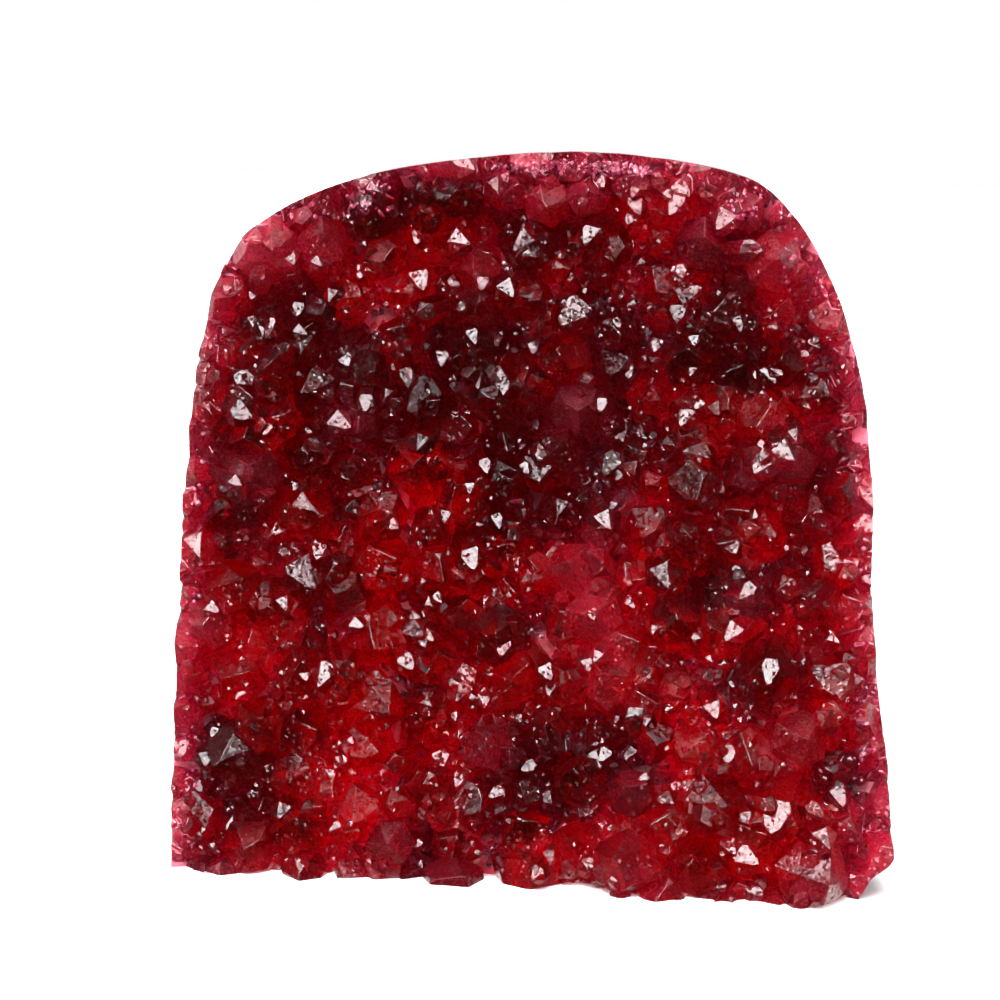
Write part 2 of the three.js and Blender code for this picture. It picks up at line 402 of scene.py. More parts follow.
def cast(normals, offsets, root, axis, length, half_width):
    """moves the board's cells to where a line of sight enters the crystal: past all planes that
    face the viewer"""
    ends = np.stack([root, root + length * axis])
    girth = 1.3 * half_width
    first_x, last_x = np.searchsorted(board_x, [ends[:, 0].min() - girth, ends[:, 0].max() + girth])
    first_z, last_z = np.searchsorted(board_z, [ends[:, 2].min() - girth, ends[:, 2].max() + girth])
    x = board_x[first_x:last_x][None, None, :]
    z = board_z[first_z:last_z][None, :, None]
    nx, ny, nz = normals.T[:, :, None, None]
    y = (offsets[:, None, None] - nx * x - nz * z) / ny
    enter = np.where(ny < 0, y, -np.inf).max(axis=0)
    leave = np.where(ny > 0, y, np.inf).min(axis=0)
    part = board[first_z:last_z, first_x:last_x]
    part[:] = np.where(enter < leave, np.minimum(part, enter), part)


for i in range(count):
    cast(normals[i], offsets[i], root[i], axis[i], length[i], large[i, 2])
print("board:", board.shape, "foremost, mm:", round(board.min(), 1))

# %% [markdown]
# ## Crystals that flash
#
# Some facets of the real druse are bright as mirrors. Each of these crystals is turned so that the
# first face of its point looks half the way between the eye and the window, which is where a mirror
# has to look. The face keeps its angle to the axis, so the axis may lie anywhere on a cone around
# that direction, and the place on the cone nearest to the crust's normal is taken, give or take.

# %% Flashing crystals
FLASHING = [
    # x, z, half-width
    (38.9, 65.2, 2.6), (36.0, 11.3, 2.9), (-28.6, 68.2, 2.5), (-32.4, 29.3, 2.4), (18.9, 101.5, 2.5),
    (-21.1, 53.0, 2.2), (25.9, 99.7, 2.2), (32.6, 63.2, 2.3), (35.1, 32.5, 2.3), (-18.6, 89.2, 2.3),
    (-10.7, 107.7, 2.2), (-9.3, 47.0, 2.2), (-46.9, 5.7, 2.2), (-1.5, 79.6, 2.2), (6.2, 96.5, 2.1),
    (-11.3, 96.4, 2.3), (12.4, 100.1, 2.1), (34.5, 6.4, 2.1), (-42.1, 81.4, 2.0), (-18.2, 31.8, 1.9),
    (-24.8, 14.3, 2.0), (-4.5, 88.6, 1.9), (-26.8, 70.7, 1.7), (28.8, 38.2, 1.9), (47.3, 13.9, 1.9),
    (32.1, 47.0, 1.7), (-11.5, 13.8, 1.9), (-48.6, 74.9, 1.6), (-49.2, 13.4, 1.6), (33.5, 56.2, 1.6),
    (38.6, 9.1, 1.6), (9.1, 71.2, 1.6), (-47.9, 39.9, 1.5), (2.9, 31.5, 1.5), (-37.7, 40.4, 1.5),
    (-5.8, 53.0, 1.5), (-14.5, 41.3, 1.5), (8.5, 10.6, 1.4), (9.2, 34.2, 1.4), (22.7, 77.1, 1.3),
    (-26.0, 38.2, 1.3), (-33.8, 92.5, 1.3), (8.9, 105.7, 1.3), (10.4, 19.4, 1.3), (-8.0, 61.3, 1.3),
]


def mirror_axis(tip, number, scatter):
    """axis and spin that turn the first face of the point half-way from the eye to the window"""
    astray = chance(number, QUESTIONS["scatter"] + np.arange(3), -1, 1)
    half = unit(unit(EYE - tip) + TO_WINDOW + scatter * astray)
    normal = crust_normal(tip[0], tip[2])
    nearest = unit(normal - half * (normal @ half))
    sideways = np.cross(half, nearest)
    round_cone = chance(number, "heading", -0.9, 0.9)
    off = nearest * np.cos(round_cone) + sideways * np.sin(round_cone)
    axis = half * np.cos(TIP_SLOPE) + off * np.sin(TIP_SLOPE)
    out = turn_to(axis[None])[0].T @ unit(half - axis * (half @ axis))
    return axis, np.arctan2(out[1], out[0])


# %% [markdown]
# The rest fills up in six rounds, from middling to tiny. Medium crystals are as tall as the large
# ones and hide the sides of their prisms, so that mostly points show. The tiny ones are the sparkle
# in the gaps. In each round every few crystals, and in the last one all, are turned towards the
# window too, but carelessly.

# %% Filling rounds
ROUNDS = [
    # crystals, tries, half-width from and to, greatest lean, share of the point that stands out
    # from and to, one in how many is turned to the window
    (320, 9, 1.8, 2.9, 0.75, 0.85, 1.3, 13),
    (280, 1, 1.4, 2.4, 0.7, 0.7, 1.1, 9),
    (340, 7, 1.1, 2.0, 0.85, 0.6, 1.15, 7),
    (300, 1, 0.9, 1.6, 0.7, 0.45, 0.85, 5),
    (420, 5, 0.45, 0.9, 0.95, 0.6, 1.3, 3),
    (520, 3, 0.2, 0.5, 0.95, 0.9, 1.6, 1),
]
FOREMOST = board.min() + 0.3
CAREFUL, CARELESS = 0.03, 0.22
ROUNDS_BEFORE_FLASHING = 2


def on_board(x, z):
    """the board's value in the cell of each (x, z)"""
    return board[((z - board_z[0]) / CELL).astype(int), ((x - board_x[0]) / CELL).astype(int)]


def grow(number, x, z, half_width, lean, stand, scatter=None):
    """plants one crystal with its point standing out of the valley at (x, z); a scatter turns it
    to the window"""
    height = half_width * np.tan(TIP_SLOPE)
    tip_y = np.maximum(on_board(np.array([x]), np.array([z]))[0] - stand * height, FOREMOST)
    tip = np.array([x, tip_y, z])
    shift = 0.0
    if scatter:
        axis, spin = mirror_axis(tip, number, scatter)
        shift = chance(number, "shift", 0.02, 0.22)
    else:
        heading = chance(number, "heading", 0, 2 * np.pi)
        axis = unit(crust_normal(x, z) + lean * np.array([np.cos(heading), 0, np.sin(heading)]))
        spin = chance(number, "spin", 0, 2 * np.pi)
    length = (crust_y(x, z) + ROOT_DEPTH - tip_y) / -axis[1]
    new = dict(root=tip - length * axis, axis=axis, length=length, half_width=half_width)
    shape = [np.array([value]) for value in (new["root"], axis, half_width, length, spin)]
    new["normals"], new["offsets"] = (found[0] for found in crystal_planes([number], *shape, shift))
    cast(new["normals"], new["offsets"], *(new[key] for key in ("root", "axis", "length", "half_width")))
    return new


def fill_druse():
    """all later crystals, as a list of their measures, round after round"""
    grown = []
    for place, row in enumerate(ROUNDS):
        crystals, tries, narrowest, widest, greatest_lean, least, most, every = row
        if place == ROUNDS_BEFORE_FLASHING:
            for x, z, half_width in FLASHING:
                grown.append(grow(len(large) + len(grown), x, z, half_width, 0, 1.0, CAREFUL))
        for turn in range(crystals):
            number = len(large) + len(grown)
            attempt = number * TRIES + np.arange(tries)
            x = chance(attempt, "place_x", -HALF_WIDTH - 0.5, HALF_WIDTH + 0.5)
            z = chance(attempt, "place_z", -1, ARCH_HEIGHT)
            best = np.argmax(on_board(x, z) - crust_y(x, z))
            half_width = chance(number, "size", narrowest, widest)
            lean = greatest_lean * np.sqrt(chance(number, "lean", 0, 1))
            stand = chance(number, "stand", least, most)
            scatter = CARELESS if turn % every == 0 else None
            grown.append(grow(number, x[best], z[best], half_width, lean, stand, scatter))
    return grown


grown = fill_druse()
druse = {key: np.concatenate([values, [new[key] for new in grown]]) for key, values in druse.items()}
print("crystals in all:", len(druse["length"]))

# %% [markdown]
# ## Milky points
#
# At the top and along the sides the clear crystals give way to a crust of tiny milky ones. They
# stand on the druse as it has grown so far, and only just inside the outline. The outline is seen
# from its middle like a clock: how far out it lies is looked up by the angle, and a point is inside
# if it is nearer.

# %% Milky points
CENTRE = np.array([0.0, 48.0])
MILKY_LENGTH = 2.4
PATCHES = [
    # x, z, spread in x and in z, crystals
    (4, 109.4, 13, 1.7, 520), (31, 104.5, 7, 3, 60), (41, 96, 6, 6, 40), (-33, 103, 9, 3, 60),
    (51, 52, 2, 40, 60), (-53, 45, 1.6, 44, 40),
]


def inside_outline(x, z, margin):
    """true where a point is nearer to the centre than the outline at the same angle, less the margin"""
    to_line = outline - CENTRE
    angle = np.arctan2(to_line[:, 0], -to_line[:, 1])
    reach = np.hypot(*to_line.T)
    order = np.argsort(angle)
    limit = np.interp(np.arctan2(x - CENTRE[0], CENTRE[1] - z), angle[order], reach[order])
    return (np.hypot(x - CENTRE[0], z - CENTRE[1]) < limit - margin) & (z > 0.6)


def milky_druse():
    """tiny crystals at chance places in the patches, with short roots, as planes and their measures"""
    rows = np.array(PATCHES)
    x, z, spread_x, spread_z = np.repeat(rows[:, :4], rows[:, 4].astype(int), axis=0).T
    number = 5000 + np.arange(len(x))
    x = x + spread_x * chance(number, "milk_x", -1, 1)
    z = z + spread_z * chance(number, "milk_z", -1, 1)
    half_width = chance(number, "size", 0.14, 0.36)
    kept = inside_outline(x, z, 1.2 + half_width)
    number, x, z, half_width = (values[kept] for values in (number, x, z, half_width))
    heading = chance(number, "heading", 0, 2 * np.pi)
    leaning = np.stack([np.cos(heading), 0 * heading, np.sin(heading)], -1)
    axis = unit(crust_normal(x, z) + 0.45 * leaning)
    tip_y = np.maximum(on_board(x, z) - chance(number, "stand", 0.1, 0.5), FOREMOST)
    length = np.full(len(x), MILKY_LENGTH)
    root = np.stack([x, tip_y, z], -1) - length[:, None] * axis
    spin = chance(number, "spin", 0, 6.28)
    normals, offsets = crystal_planes(number, root, axis, half_width, length, spin)
    return dict(normals=normals, offsets=offsets)


milk = milky_druse()
print("milky points:", len(milk["offsets"]))

# %% [markdown]
# ## Closed bodies with flat edges
#
# The edges of a real crystal are never perfectly sharp, and the thin line of light on them is what
# makes it look solid. Each plane is first moved in by a hair, the corners are found there, and each
# corner is then pushed back out along its three planes. That leaves every face where it was and
# puts a narrow flat on each edge. Tiny crystals go without, because nobody could see it.

# %% Corners and hulls
TRIPLES = np.array(list(combinations(range(13), 3)))
# A crystal of more than such a half-width gets a flat, and this is how far its planes move for it.
LARGE, MEDIUM = 2.8, 1.4
LARGE_FLAT, MEDIUM_FLAT = 0.15, 0.09
SAME_PLANE = 0.002


def plane_corners(normals, offsets):
    """corner = (d1 n2 x n3 + d2 n3 x n1 + d3 n1 x n2) / (n1 . n2 x n3), kept if no plane cuts it off"""
    first, second, third = (normals[:, TRIPLES[:, i]] for i in range(3))
    d1, d2, d3 = (offsets[:, TRIPLES[:, i], None] for i in range(3))
    volume = np.einsum("ctj,ctj->ct", first, np.cross(second, third))
    meets = np.abs(volume) > 1e-5
    point = d1 * np.cross(second, third) + d2 * np.cross(third, first) + d3 * np.cross(first, second)
    point = point / np.where(meets, volume, 1)[..., None]
    beyond = np.einsum("ctj,ckj->ctk", point, normals) - offsets[:, None, :]
    return point, meets & (beyond.max(axis=-1) < 1e-6)


def hull_arrays(points):
    """vertices and faces of the smallest convex body around the points"""
    mesh = bpy.data.meshes.new("hull")
    mesh.from_pydata(points, [], [])
    work = bmesh.new()
    work.from_mesh(mesh)
    bmesh.ops.convex_hull(work, input=work.verts)
    bmesh.ops.dissolve_limit(work, angle_limit=SAME_PLANE, verts=work.verts, edges=work.edges)
    work.to_mesh(mesh)
    work.free()
    corners = np.empty(3 * len(mesh.vertices))
    mesh.vertices.foreach_get("co", corners)
    faces = [list(face.vertices) for face in mesh.polygons]
    bpy.data.meshes.remove(mesh)
    return corners.reshape(-1, 3), faces


def crystal_hulls(group, edge_flat):
    """one closed body for each crystal of a group, with a flat of its own width on the edges"""
    point, kept = plane_corners(group["normals"], group["offsets"] - edge_flat[:, None])
    hulls = []
    for number, flat in enumerate(edge_flat):
        triple = np.nonzero(kept[number])[0]
        pushed = point[number, triple][:, None, :] + flat * group["normals"][number][TRIPLES[triple]]
        hulls.append(hull_arrays(pushed.reshape(-1, 3) if flat else point[number, triple]))
    return hulls


girths = [druse["half_width"] > LARGE, druse["half_width"] > MEDIUM]
hulls = crystal_hulls(druse, np.select(girths, [LARGE_FLAT, MEDIUM_FLAT], 0.0))
milky_hulls = crystal_hulls(milk, np.zeros(len(milk["offsets"])))
print("faces of the crystals:", sum(len(faces) for corners, faces in hulls + milky_hulls))

# The frame stands with its middle over the origin. The left corner of the foot and the foremost large
# crystal give the way from the formulas' x and y to the frame's.
sharp, kept = plane_corners(druse["normals"][:len(large)], druse["offsets"][:len(large)])
inside = kept & (np.abs(sharp[..., 0]) < HALF_WIDTH - 2) & (sharp[..., 2] > 0)
TO_FRAME = np.array([low[0] + HALF_WIDTH, low[1] - sharp[inside][:, 1].min(), 0])
print("shift to the frame, mm:", TO_FRAME.round(3))

# %% [markdown]
# ## From many crystals to one skin
#
# Crystals that grew together are one piece of quartz, and light passes from one to the next without
# noticing. Were they left as overlapping bodies, each hidden wall inside would bend the light again.
# So they are united. A union works on bodies that don't cross themselves: the crystals are sorted
# into sets in which none touches another, each set becomes one mesh, and the sets are united.

# %% Sets of crystals that don't touch
def mesh_from(name, bodies):
    """one mesh of several (corners, faces) bodies, moved to the frame's place and scaled to metres"""
    corners = np.concatenate([corners for corners, faces in bodies]) + TO_FRAME
    starts = np.cumsum([0] + [len(corners) for corners, faces in bodies])
    faces = []
    for (_, body), start in zip(bodies, starts):
        faces += [[corner + start for corner in face] for face in body]
    mesh = bpy.data.meshes.new(name)
    mesh.from_pydata(corners * MM, [], faces)
    return mesh


def place_object(name, mesh):
    """an object at the origin that shows the mesh"""
    piece = bpy.data.objects.new(name, mesh)
    bpy.context.scene.collection.objects.link(piece)
    return piece


def untouching_sets():
    """for each crystal the number of its set: the first set that holds none of its neighbours"""
    along = np.linspace(0, 1, 6)[None, :, None]
    reach = along * druse["length"][:, None, None]
    spine = druse["root"][:, None, :] + druse["axis"][:, None, :] * reach
    girth = druse["half_width"] * 1.1 / np.cos(np.pi / 6)
    chosen = np.full(len(girth), -1)
    for number in np.argsort(-girth):
        near = np.linalg.norm(spine[number][None, :, None] - spine[:, None], axis=-1).min(axis=(1, 2))
        taken = set(chosen[near < girth[number] + girth + 0.6])
        chosen[number] = next(k for k in range(len(girth)) if k not in taken)
    return chosen


sets = untouching_sets()
print("sets of crystals:", sets.max() + 1)

# %% Union and trim
SLAB_GRID = 30
SLAB_FRONT, SLAB_BACK = BED_DEPTH + 1.4, BED_DEPTH + 4.4
TRIM_INSET, TRIM_FOOT = 0.12, 0.06
FAR = 60.0


def outline_block(inset, foot):
    """closed block inside the wall, moved in by inset and cut at z = foot, from front to back"""
    ahead = np.roll(outline, -1, axis=0) - np.roll(outline, 1, axis=0)
    line = outline + inset * unit(np.stack([-ahead[:, 1], ahead[:, 0]], -1))
    line[0] = (outline[0, 0] - inset, foot)
    line[-1] = (outline[-1, 0] + inset, foot)
    rings = [on_wall(line, np.full(len(line), back)) for back in (-FAR, 0.0, FAR)]
    count = len(line)
    i = np.arange(count)
    j = (i + 1) % count
    faces = [list(range(count)), list(range(3 * count - 1, 2 * count - 1, -1))]
    for start in (0, count):
        faces += np.stack([i + start, i + start + count, j + start + count, j + start], -1).tolist()
    return np.concatenate(rings), faces


def root_slab():
    """closed slab behind the crust that all crystals stand in"""
    n = SLAB_GRID
    x = np.linspace(-HALF_WIDTH - 4, HALF_WIDTH + 4, n)
    x, z = np.meshgrid(x, np.linspace(-4, ARCH_HEIGHT + 4, n))
    sheets = [np.stack([x, crust_y(x, z) + depth, z], -1) for depth in (SLAB_FRONT, SLAB_BACK)]
    layers = [sheet.reshape(-1, 3) for sheet in sheets]
    grid = np.arange(n * n).reshape(n, n)
    quads = np.stack([grid[:-1, :-1], grid[1:, :-1], grid[1:, 1:], grid[:-1, 1:]], -1).reshape(-1, 4)
    rim = np.concatenate([grid[0, :-1], grid[:-1, -1], grid[-1, :0:-1], grid[:0:-1, 0]])
    after = np.roll(rim, -1)
    sides = np.stack([after, rim, rim + n * n, after + n * n], -1)
    return np.concatenate(layers), np.concatenate([quads[:, ::-1], quads + n * n, sides]).tolist()


def combined(piece, steps):
    """the mesh of a piece after joining or cutting it with other objects, which are then removed"""
    for operation, other in steps:
        boolean = piece.modifiers.new(operation, "BOOLEAN")
        boolean.operation = operation
        boolean.solver = "MANIFOLD"
        boolean.object = other
    graph = bpy.context.evaluated_depsgraph_get()
    mesh = bpy.data.meshes.new_from_object(piece.evaluated_get(graph))
    for other in [piece] + [other for operation, other in steps]:
        bpy.data.objects.remove(other)
    return mesh


def keep_largest(mesh):
    """drops every loose part but the largest, which also fills hollows closed in between crystals"""
    edges = np.empty(2 * len(mesh.edges), int)
    mesh.edges.foreach_get("vertices", edges)
    edges = edges.reshape(-1, 2)
    label = np.arange(len(mesh.vertices))
    while True:
        lower = label.copy()
        np.minimum.at(lower, edges[:, 0], label[edges[:, 1]])
        np.minimum.at(lower, edges[:, 1], label[edges[:, 0]])
        lower = lower[lower]
        if (lower == label).all():
            break
        label = lower
    main = np.bincount(label).argmax()
    work = bmesh.new()
    work.from_mesh(mesh)
    work.verts.ensure_lookup_table()
    bmesh.ops.delete(work, geom=[work.verts[i] for i in np.nonzero(label != main)[0]], context="VERTS")
    bmesh.ops.dissolve_limit(work, angle_limit=SAME_PLANE, verts=work.verts, edges=work.edges)
    work.to_mesh(mesh)
    work.free()


def united_druse():
    """all crystals and the slab behind them as one closed skin, trimmed to the ground wall"""
    slab = place_object("slab", mesh_from("slab", [root_slab()]))
    steps = []
    for number in range(sets.max() + 1):
        members = [hulls[i] for i in np.nonzero(sets == number)[0]]
        steps.append(("UNION", place_object("crystal set", mesh_from("crystal set", members))))
    block = mesh_from("block", [outline_block(TRIM_INSET, TRIM_FOOT)])
    steps.append(("INTERSECT", place_object("block", block)))
    mesh = combined(slab, steps)
    keep_largest(mesh)
    return mesh


druse_mesh = united_druse()
druse_mesh.materials.clear()
druse_mesh.polygons.foreach_set("material_index", np.zeros(len(druse_mesh.polygons), np.int32))
crystal_druse = place_object("crystal_druse", druse_mesh)
triangles = sum(len(face.vertices) - 2 for face in druse_mesh.polygons)
print("druse faces:", len(druse_mesh.polygons), "as triangles:", triangles)

# %% [markdown]
# The dye took unevenly and the quartz is not equally clear everywhere. Three numbers are stored on
# the skin for its material. Facet is a chance number of each face. Tone says how much light a face
# lets through: it varies from face to face and is lower or higher in a few listed regions, which
# were seen on the real stone and are partly uneven dye and partly painted shade and painted glow.
# Milk says how cloudy the quartz is: short crystals along the rim, above all at the top, and near
# the foot are cloudy, and so are the two dozen listed large crystals, whose cloudiness is painted
# glow. The ground wall itself is clearer again, because the wheel polished it.

# %% Facet, tone and milk
CLOUDY = [(4, 108.5, 13, 3.5, 0.45), (29, 104, 10, 5, 0.3), (50, 12, 5, 8, 0.2), (9, 42, 5, 13, 0.1),
          (40, 92, 7, 7, 0.2), (-43, 95, 8, 7, 0.2)]
# The listed large crystals get some milk, which makes them paler: painted glow.
GLOW_PAINTED_AS_MILK = [(x, z, half_width, half_width, 0.15) for x, z, half_width, *_ in LEADING]
MILKY_BAND = 4.5
MILKIEST = 0.9


def druse_numbers():
    """facet and tone of each face, milk of each corner"""
    faces, count = len(druse_mesh.polygons), len(druse_mesh.vertices)
    middle, corner = np.empty(3 * faces), np.empty(3 * count)
    druse_mesh.polygons.foreach_get("center", middle)
    druse_mesh.vertices.foreach_get("co", corner)
    middle, corner = middle.reshape(-1, 3) / MM, corner.reshape(-1, 3) / MM
    facet = chance(np.arange(faces), "facet", 0, 1)
    other = chance(np.arange(faces), "stand", 0, 1)
    # dyed holds the listed patches: partly uneven dye, partly painted shade and painted glow.
    dyed = spread_over(middle[:, 0], middle[:, 2], DYE_SHADE_AND_GLOW)
    tone = 0.7 + 0.42 * lattice_noise(middle, 7.0, 61) + dyed
    tone = np.clip(tone + 0.6 * (other - 0.5), 0, 1)
    x, z = corner[:, 0], corner[:, 2]
    # The corners are measured in twenty parts, because all at once would fill the memory.
    parts = zip(np.array_split(x, 20), np.array_split(z, 20))
    rim = np.concatenate([rim_distance(*part) for part in parts])
    uneven = 0.6 + 0.5 * lattice_noise(corner, 3.0, 62)
    milk = np.clip(0.8 - rim / MILKY_BAND, 0, 1) * np.clip(0.3 + 0.6 * rim, 0.4, 1)
    milk = (milk + 0.15 * np.clip(1 - z / 5, 0, 1) + spread_over(x, z, CLOUDY)) * uneven
    # The large crystals' extra milk is painted glow.
    return facet, tone, np.clip(milk + spread_over(x, z, GLOW_PAINTED_AS_MILK), 0, MILKIEST)


def store(mesh, name, domain, values):
    """one number for each face or corner of a mesh, for its material"""
    attribute = mesh.attributes.new(name, "FLOAT", domain)
    attribute.data.foreach_set("value", values.astype(np.float32))
    print(name, "on average:", values.mean().round(2))


for name, domain, values in zip(("facet", "tone", "milk"), ("FACE", "FACE", "POINT"), druse_numbers()):
    store(druse_mesh, name, domain, values)

# %% [markdown]
# ## Seams between crystals
#
# Where two crystals meet, a thin line of milky quartz often seals the joint, and it shows as a pale
# pink thread, most of all near the ground rim. In the united skin those joints are the edges that
# fold inward: the middle of one face lies in front of the other face. Each of a choice of these
# edges gets a thin three-sided rod. The rods are thicker and closer together towards the rim.

# %% Seams
SEAM_BAND = 7.0
SHORTEST_SEAM = 0.7
SEAM_CELL = 3
THINNEST, THICKEST = 0.07, 0.12


def face_table(mesh):
    """normals, middles and, for each edge, its two faces"""
    count = len(mesh.polygons)
    normal, middle = np.empty(3 * count), np.empty(3 * count)
    mesh.polygons.foreach_get("normal", normal)
    mesh.polygons.foreach_get("center", middle)
    total = np.empty(count, int)
    mesh.polygons.foreach_get("loop_total", total)
    edge_of = np.empty(len(mesh.loops), int)
    mesh.loops.foreach_get("edge_index", edge_of)
    order = np.argsort(edge_of, kind="stable")
    pairs = np.repeat(np.arange(count), total)[order].reshape(-1, 2)
    return normal.reshape(-1, 3), middle.reshape(-1, 3), pairs


def rods(start, end, radius):
    """closed three-sided rods from start to end points, all as one body"""
    along = unit(end - start)
    side = unit(np.cross(along, np.array([0.3, 0.1, 0.95])))
    up = np.cross(along, side)
    turn = np.array([0, 2, 4]) * np.pi / 3
    ring = side[:, None] * np.cos(turn)[None, :, None] + up[:, None] * np.sin(turn)[None, :, None]
    ring = ring * radius[:, None, None]
    corners = np.concatenate([start[:, None] + ring, end[:, None] + ring], axis=1)
    shape = [[0, 2, 1], [3, 4, 5], [0, 1, 4], [0, 4, 3], [1, 2, 5], [1, 5, 4], [2, 0, 3], [2, 3, 5]]
    faces = np.array(shape)[None] + 6 * np.arange(len(start))[:, None, None]
    return corners.reshape(-1, 3), faces.reshape(-1, 3).tolist()


def seam_body():
    """rods along the inward edges of the front, chosen by chance and by their distance from the rim"""
    corner = np.empty(3 * len(druse_mesh.vertices))
    druse_mesh.vertices.foreach_get("co", corner)
    corner = corner.reshape(-1, 3) / MM - TO_FRAME
    edges = np.empty(2 * len(druse_mesh.edges), int)
    druse_mesh.edges.foreach_get("vertices", edges)
    start, end = corner[edges.reshape(-1, 2)].transpose(1, 0, 2)
    normal, middle, pairs = face_table(druse_mesh)
    between = middle[pairs[:, 1]] - middle[pairs[:, 0]]
    inward = np.einsum("ij,ij->i", between, normal[pairs[:, 0]]) > 2e-5
    point = (start + end) / 2
    rim = rim_distance(point[:, 0], point[:, 2])
    front = point[:, 1] < crust_y(point[:, 0], point[:, 2]) + 2
    long_enough = np.linalg.norm(end - start, axis=1) > SHORTEST_SEAM
    group = np.floor(point[:, 0] / SEAM_CELL) * 31 + np.floor(point[:, 2] / SEAM_CELL)
    share = np.clip(0.8 - rim / SEAM_BAND, 0, 1)
    chosen = inward & front & long_enough & (rim > 0.3) & (chance(group, "seam", 0, 1) < share)
    radius = np.clip(0.13 - 0.012 * rim, THINNEST, THICKEST)[chosen]
    out = unit(normal[pairs[chosen, 0]] + normal[pairs[chosen, 1]]) * radius[:, None] * 0.6
    return rods(start[chosen] + out, end[chosen] + out, radius)


seams = place_object("crystal_seams", mesh_from("crystal_seams", [seam_body()]))
milky_points = place_object("milky_points", mesh_from("milky_points", milky_hulls))
print("seam faces:", len(seams.data.polygons))

# %% [markdown]
# ## The stone behind the crystals
#
# Behind the druse lies the stone: the bed in front, the ground wall around it, the rind at the back
# and the sawn foot below. It is one closed skin of rings. Each ring has the points of the outline
# and of the foot, and the rings run from the middle of the bed out to the wall, across the wall, and
# in again over the rind. Three numbers are stored with each corner for the materials: how deep it
# lies behind the crust, how far it is from the rim, and how much lighter or darker the patches make
# it, which is partly uneven dye and partly painted shade and painted glow.

# %% Stone
FOOT_STEPS = 30
RINGS_IN, RINGS_ACROSS = 62, 16
RAISED_BY, RAISED_BAND = 3.0, 6.5


def raised_bed(x, z):
    """y of the bed, which comes forward by 3 mm towards the rim, where the crystals are short"""
    rim = rim_distance(x.ravel(), z.ravel()).reshape(x.shape)
    return bed_y(x, z) - RAISED_BY * np.clip(1 - rim / RAISED_BAND, 0, 1) ** 1.5


def stone_body():
    """rings of the outline and the foot: bed, wall and rind"""
    foot_x = np.linspace(outline[-1, 0], outline[0, 0], FOOT_STEPS + 2)[1:-1]
    line = np.concatenate([outline, np.stack([foot_x, np.zeros(FOOT_STEPS)], -1)])
    shrink = np.sin(np.linspace(0.02, np.pi / 2, RINGS_IN))

    def inner(ring, surface):
        """rings that shrink a ring towards the centre, each point set on the surface"""
        flat = CENTRE + shrink[:, None, None] * (ring[:, [0, 2]] - CENTRE)
        return np.stack([flat[..., 0], surface(flat[..., 0], flat[..., 1]), flat[..., 1]], -1)

    bed, rind = (inner(wall_ring(line, surface), surface) for surface in (raised_bed, rind_y))
    step = np.linspace(0, 1, RINGS_ACROSS + 1)[1:-1, None, None]
    wall = bed[-1] + step * (rind[-1] - bed[-1])
    rings = np.concatenate([bed, wall, rind[::-1]])
    count = len(line)
    grid = np.arange(len(rings) * count).reshape(-1, count)
    grid = np.concatenate([grid, grid[:, :1]], axis=1)
    quads = np.stack([grid[:-1, :-1], grid[1:, :-1], grid[1:, 1:], grid[:-1, 1:]], -1)
    ends = [grid[0, :-1].tolist(), grid[-1, -2::-1].tolist()]
    return rings.reshape(-1, 3), quads.reshape(-1, 4).tolist() + ends


corners, faces = stone_body()
stone = place_object("geode_stone", mesh_from("geode_stone", [(corners, faces)]))
for name, values in (
    ("depth", corners[:, 1] - crust_y(corners[:, 0], corners[:, 2])),
    ("rim", rim_distance(corners[:, 0], corners[:, 2])),
    # dyed: the patches, partly uneven dye and partly painted shade and painted glow.
    ("dyed", spread_over(corners[:, 0], corners[:, 2], DYE_SHADE_AND_GLOW)),
):
    store(stone.data, name, "POINT", values)
# Bed, wall and rind have a material each: 0, 1 and 2.
ring_faces = len(corners) // (RINGS_IN * 2 + RINGS_ACROSS - 1)
part = np.repeat([0, 1, 2], np.array([RINGS_IN - 1, RINGS_ACROSS, RINGS_IN - 1]) * ring_faces)
material_index = np.concatenate([part, [0, 2]]).astype(np.int32)
stone.data.polygons.foreach_set("material_index", material_index)
print("stone faces:", len(stone.data.polygons))

# %% [markdown]
# ## A way to write shaders as sums
#
# A material is a tree of nodes, and long trees are hard to read in Python. This small class wraps
# one output socket. Adding, multiplying or subtracting wrapped sockets adds Math nodes, so a pattern
# can be written as the formula that it is. Every other node comes from one method, which takes the
# node's type, its settings, and the values or links of its sockets.

